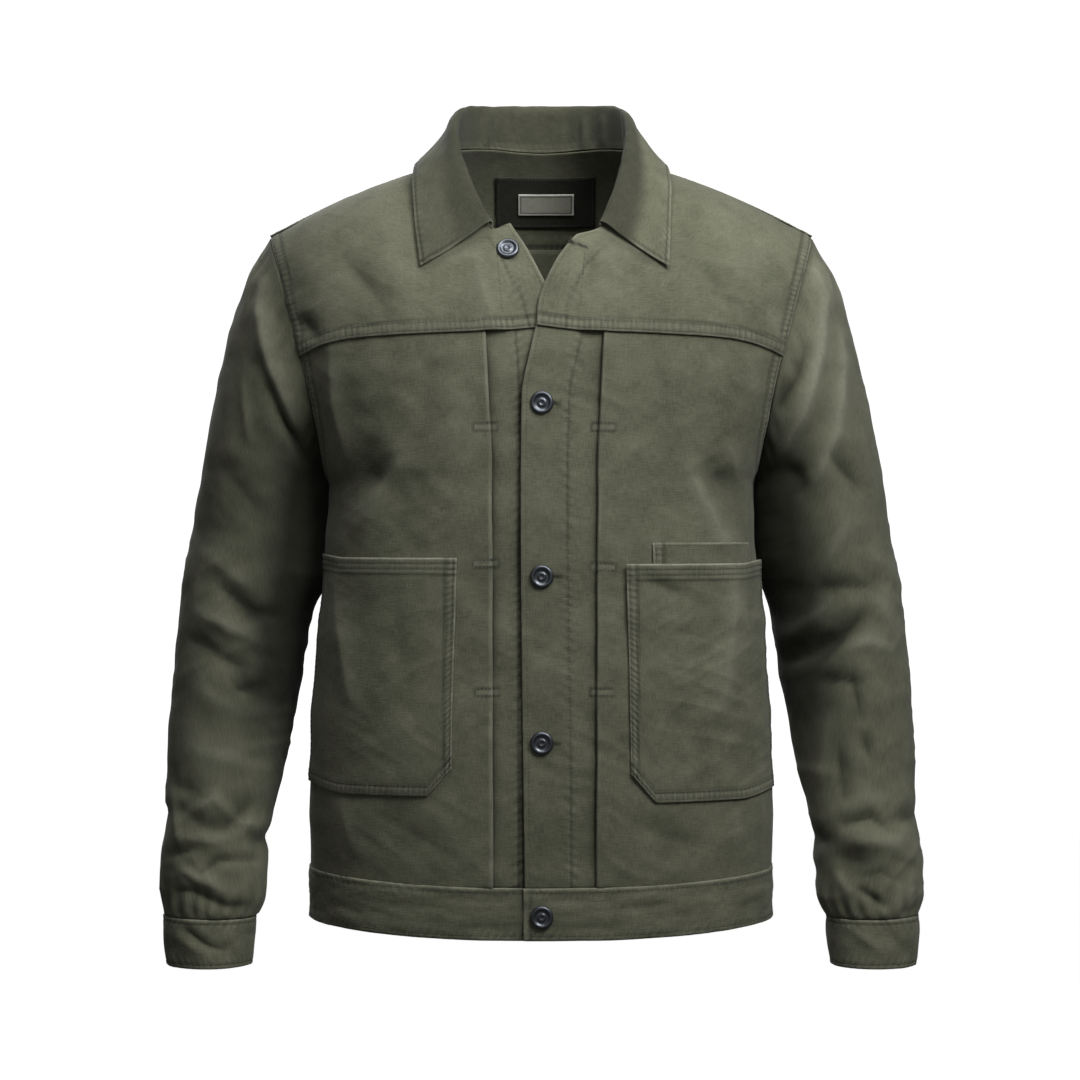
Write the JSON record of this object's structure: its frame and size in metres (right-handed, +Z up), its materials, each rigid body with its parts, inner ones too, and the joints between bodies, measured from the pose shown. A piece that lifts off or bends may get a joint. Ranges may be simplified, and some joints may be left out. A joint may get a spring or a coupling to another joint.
{
  "type": "overshirt",
  "caption": "Cotton canvas overshirt with yoke, pleated button front, open collar, patch pockets, waistband and cuffs, filled out as if worn.",
  "frame": {"origin": "midway between the shoulders, level with the shoulder points beside the neck, where a wearer or stand holds the garment", "axes": "+X towards the wearer's left, -Y towards the front, +Z up"},
  "size_m": [0.6491, 0.2621, 0.7461],
  "materials": {
    "canvas": "washed matte twill",
    "label_tape": "matte woven tape",
    "gunmetal": "dark satin"
  },
  "bodies": {
    "root": {"back_yoke": "canvas", "back_panel": "canvas", "front_yoke_right": "canvas", "front_yoke_left": "canvas", "front_panel_right": "canvas", "front_panel_left": "canvas", "collar": "canvas", "sleeve_right": "canvas", "sleeve_left": "canvas", "cuff_right": "canvas", "cuff_left": "canvas", "waistband": "canvas", "pocket_right": "canvas", "pocket_left": "canvas", "inner_pocket_left": "canvas", "neck_patch": "canvas", "neck_label": "label_tape", "button_1": "gunmetal", "button_2": "gunmetal", "button_3": "gunmetal", "button_4": "gunmetal", "button_5": "gunmetal", "cuff_button_right": "gunmetal", "cuff_button_left": "gunmetal"}
  },
  "joints": []
}
